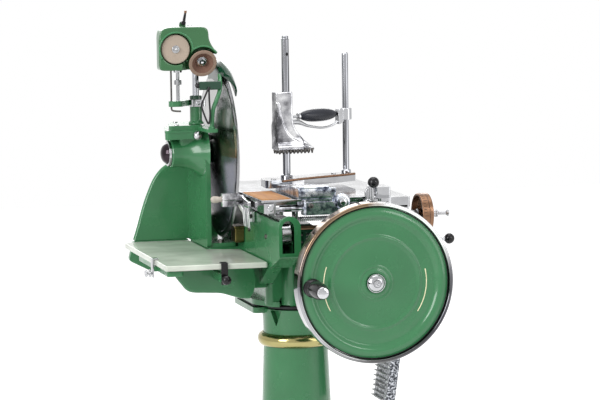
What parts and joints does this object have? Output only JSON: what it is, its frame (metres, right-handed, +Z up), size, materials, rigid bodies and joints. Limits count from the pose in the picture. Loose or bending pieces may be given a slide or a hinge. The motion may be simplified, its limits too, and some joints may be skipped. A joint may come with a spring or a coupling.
{
  "type": "hand crank meat slicer",
  "caption": "Flywheel meat slicer on a round cast pedestal: hand-cranked wheel, round blade with hood and sharpener, sliding carriage with feed screw and toothed press, receiving plate.",
  "frame": {"origin": "centre of the bounding box on the floor", "axes": "+Z up, -Y towards the operator who turns the flywheel, +X from the blade towards the feed dial"},
  "size_m": [0.5852, 0.743, 1.33],
  "materials": {
    "green_paint": "glossy enamel",
    "dark_green_paint": "glossy enamel",
    "chrome": "polished",
    "steel": "turned",
    "hammered_grey": "hammered metallic paint",
    "brass": "polished",
    "black_grip": "glossy",
    "black_rubber": "matte",
    "white_glass": "white opal glass",
    "grinding_stone": "fine grit",
    "varnished_board": "varnished",
    "ivory_knob": "glossy"
  },
  "bodies": {
    "stand": {"pedestal": "green_paint", "pedestal_ring": "brass", "foot_pad_front": "black_rubber", "foot_pad_rear": "black_rubber", "base_casting": "green_paint", "right_rail": "steel", "drip_box": "brass", "blade_stand": "green_paint", "bearing_cap": "chrome", "oil_cap": "chrome", "blade_hood": "green_paint", "receiving_plate": "white_glass", "tray_arm": "green_paint", "plate_clamp": "chrome", "strap_clamp": "chrome", "deflector_bracket": "chrome", "sharpener_post": "green_paint", "spiked_plate": "steel"},
    "roller_front": {"roller_front": "steel"},
    "roller_middle": {"roller_middle": "steel"},
    "roller_rear": {"roller_rear": "steel"},
    "flywheel": {"flywheel_disc": "green_paint", "flywheel_rim": "chrome", "flywheel_shaft": "steel", "crank_pin": "chrome"},
    "crank_grip": {"crank_grip": "black_grip"},
    "crown_gear": {"crown_gear": "steel"},
    "blade": {"blade": "chrome", "blade_shaft": "dark_green_paint", "blade_nut": "steel"},
    "carriage": {"carriage_frame": "chrome", "table_board": "varnished_board", "cross_bar": "chrome"},
    "feed_slide": {"feed_block": "hammered_grey", "rod_plate": "chrome", "rod_left": "chrome", "rod_right": "chrome"},
    "feed_screw": {"feed_screw": "steel", "feed_dial": "chrome", "feed_crank": "chrome", "dial_screw": "steel"},
    "nut_lever": {"nut_lever": "chrome"},
    "press": {"press_claw": "chrome", "press_bar": "chrome", "press_grip": "black_grip"},
    "sharpener": {"sharpener_bracket": "chrome", "sharpener_arm": "green_paint", "sharpener_collar": "dark_green_paint", "sharpener_rod": "chrome", "hook_rod": "steel"},
    "sharpener_head": {"sharpener_head": "green_paint", "guide_rod": "chrome"},
    "flat_stone": {"flat_stone": "grinding_stone"},
    "cup_stone": {"cup_stone": "grinding_stone"},
    "head_lever": {"head_lever": "black_grip"},
    "deflector": {"deflector_comb": "chrome", "deflector_knob": "ivory_knob"},
    "clamp_screw": {"clamp_screw": "chrome"},
    "strap_knob": {"strap_knob": "black_grip"}
  },
  "joints": [
    {"name": "flywheel_spin", "type": "hinge", "parent": "stand", "child": "flywheel", "pos_m": [0.07716, -0.2685, 0.837], "axis": [0, 1, 0], "continuous": true},
    {"name": "crank_grip_spin", "type": "hinge", "parent": "flywheel", "child": "crank_grip", "pos_m": [-0.04584, -0.3385, 0.835], "axis": [0, 1, 0], "continuous": true},
    {"name": "crown_gear_spin", "type": "hinge", "parent": "stand", "child": "crown_gear", "pos_m": [0.04066, 0.0535, 0.837], "axis": [1, 0, 0], "continuous": true},
    {"name": "blade_spin", "type": "hinge", "parent": "stand", "child": "blade", "pos_m": [-0.13934, 0.2015, 1.047], "axis": [1, 0, 0], "continuous": true},
    {"name": "roller_front_spin", "type": "hinge", "parent": "stand", "child": "roller_front", "pos_m": [-0.05714, -0.1405, 0.9175], "axis": [1, 0, 0], "continuous": true},
    {"name": "roller_middle_spin", "type": "hinge", "parent": "stand", "child": "roller_middle", "pos_m": [-0.05714, 0.1015, 0.9175], "axis": [1, 0, 0], "continuous": true},
    {"name": "roller_rear_spin", "type": "hinge", "parent": "stand", "child": "roller_rear", "pos_m": [-0.05714, 0.2715, 0.9175], "axis": [1, 0, 0], "continuous": true},
    {"name": "carriage_travel", "type": "slide", "parent": "stand", "child": "carriage", "axis": [0, 1, 0], "range_m": [0, 0.19]},
    {"name": "feed_travel", "type": "slide", "parent": "carriage", "child": "feed_slide", "axis": [1, 0, 0], "range_m": [-0.04, 0.03]},
    {"name": "feed_screw_turn", "type": "hinge", "parent": "carriage", "child": "feed_screw", "pos_m": [0.20066, -0.0885, 0.9387], "axis": [1, 0, 0], "range_deg": [-1028, 771]},
    {"name": "nut_lever_tip", "type": "hinge", "parent": "carriage", "child": "nut_lever", "pos_m": [0.11066, -0.1275, 0.971], "axis": [0, 1, 0], "range_deg": [0, 30]},
    {"name": "press_travel", "type": "slide", "parent": "feed_slide", "child": "press", "axis": [0, 0, 1], "range_m": [-0.035, 0.08]},
    {"name": "sharpener_swing", "type": "hinge", "parent": "stand", "child": "sharpener", "pos_m": [-0.14534, 0.2015, 1.145], "axis": [0, 0, -1], "range_deg": [0, 70]},
    {"name": "sharpener_drop", "type": "slide", "parent": "sharpener", "child": "sharpener_head", "axis": [0, 0, 1], "range_m": [-0.015, 0]},
    {"name": "flat_stone_spin", "type": "hinge", "parent": "sharpener_head", "child": "flat_stone", "pos_m": [-0.19804, 0.1515, 1.256], "axis": [0, 1, 0], "continuous": true},
    {"name": "cup_stone_spin", "type": "hinge", "parent": "sharpener_head", "child": "cup_stone", "pos_m": [-0.14424, 0.1365, 1.2267], "axis": [0, 0.9272, 0.3746], "continuous": true},
    {"name": "head_lever_tip", "type": "hinge", "parent": "sharpener_head", "child": "head_lever", "pos_m": [-0.17234, 0.1815, 1.306], "axis": [0, 1, 0], "range_deg": [-20, 20]},
    {"name": "deflector_tip", "type": "hinge", "parent": "stand", "child": "deflector", "pos_m": [-0.11934, 0.0195, 0.971], "axis": [1, 0, 0], "range_deg": [-25, 0]},
    {"name": "clamp_screw_turn", "type": "hinge", "parent": "stand", "child": "clamp_screw", "pos_m": [-0.28434, 0.0215, 0.834], "axis": [1, 0, 0], "range_deg": [-180, 180]},
    {"name": "strap_knob_turn", "type": "hinge", "parent": "stand", "child": "strap_knob", "pos_m": [-0.16234, -0.1085, 0.831], "axis": [0, 1, 0], "range_deg": [-180, 180]}
  ],
  "couplings": [
    {"joint": "crown_gear_spin", "follows": "flywheel_spin", "ratio": -0.41667},
    {"joint": "blade_spin", "follows": "flywheel_spin", "ratio": -0.83333},
    {"joint": "feed_travel", "follows": "feed_screw_turn", "m_per_rad": 0.002228}
  ]
}
